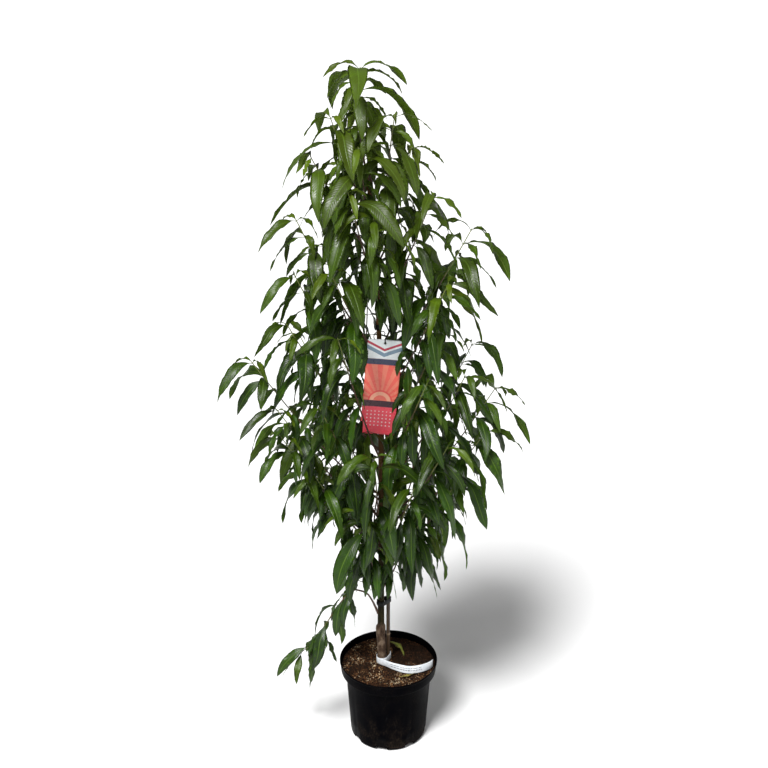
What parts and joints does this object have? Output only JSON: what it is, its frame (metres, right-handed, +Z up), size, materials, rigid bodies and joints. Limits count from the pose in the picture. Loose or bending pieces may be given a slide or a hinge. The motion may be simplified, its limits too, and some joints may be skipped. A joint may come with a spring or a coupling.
{
  "type": "potted nectarine tree",
  "caption": "Young nectarine tree with long drooping leaves in a round black nursery pot, tied to a bamboo cane, with a hang label and a strap tag",
  "frame": {"origin": "centre of the pot's flat underside, on the floor", "axes": "+Z up along the trunk, -Y towards the front where the hang label faces, +X to the right seen from the front"},
  "size_m": [0.7561, 0.5966, 1.7881],
  "materials": {
    "pot_plastic": "satin black injection-moulded polypropylene",
    "potting_soil": "loose peat and composted bark",
    "bark": "rough grey-brown bark",
    "bamboo": "smooth red-brown bamboo",
    "tie_plastic": "black",
    "label_card": "glossy printed plastic card",
    "strap_plastic": "white plastic film",
    "leaf": "glossy green leaf",
    "faded_leaf": "fading green leaf",
    "dry_leaf": "yellow leaf"
  },
  "bodies": {
    "root": {"pot": "pot_plastic", "soil": "potting_soil", "trunk": "bark", "cane": "bamboo", "tie_low": "tie_plastic", "tie_high": "tie_plastic", "hang_label": "label_card", "label_loop": "tie_plastic", "strap_tag": "strap_plastic", "fallen_leaf_green": "faded_leaf", "fallen_leaf_yellow": "dry_leaf", "shoot_left_crest": "leaf", "shoot_right_crest": "leaf", "shoot_front_crest": "leaf", "shoot_back_crest": "leaf", "shoot_left_top": "leaf", "shoot_right_top": "leaf", "shoot_front_top": "leaf", "shoot_back_top": "leaf", "shoot_right_high": "leaf", "shoot_left_high": "leaf", "shoot_front_high": "leaf", "shoot_back_high": "leaf", "shoot_far_right_high": "leaf", "shoot_left_shoulder": "leaf", "shoot_right_shoulder": "leaf", "shoot_back_left_shoulder": "leaf", "shoot_back_right_shoulder": "leaf", "shoot_back_shoulder": "leaf", "shoot_front_left_shoulder": "leaf", "shoot_front_left_middle": "leaf", "shoot_left_middle": "leaf", "shoot_right_middle": "leaf", "shoot_front_right_middle": "leaf", "shoot_back_left_middle": "leaf", "shoot_back_right_middle": "leaf", "shoot_far_left": "leaf", "shoot_far_left_lower": "leaf", "shoot_far_right": "leaf", "shoot_far_right_outer": "leaf", "shoot_front_left": "leaf", "shoot_front_right": "leaf", "shoot_back_left": "leaf", "shoot_back_right": "leaf", "shoot_right_low": "leaf", "shoot_left_low": "leaf", "shoot_front": "leaf", "shoot_front_right_low": "leaf", "shoot_back_left_low": "leaf", "shoot_back_right_low": "leaf", "shoot_back_low": "leaf", "shoot_left_foot": "leaf", "shoot_right_foot": "leaf", "shoot_front_foot": "leaf", "shoot_front_left_foot": "leaf", "shoot_right_skirt": "leaf", "shoot_left_skirt": "leaf", "low_twig": "leaf", "low_sprig": "leaf", "leader": "leaf"}
  },
  "joints": []
}
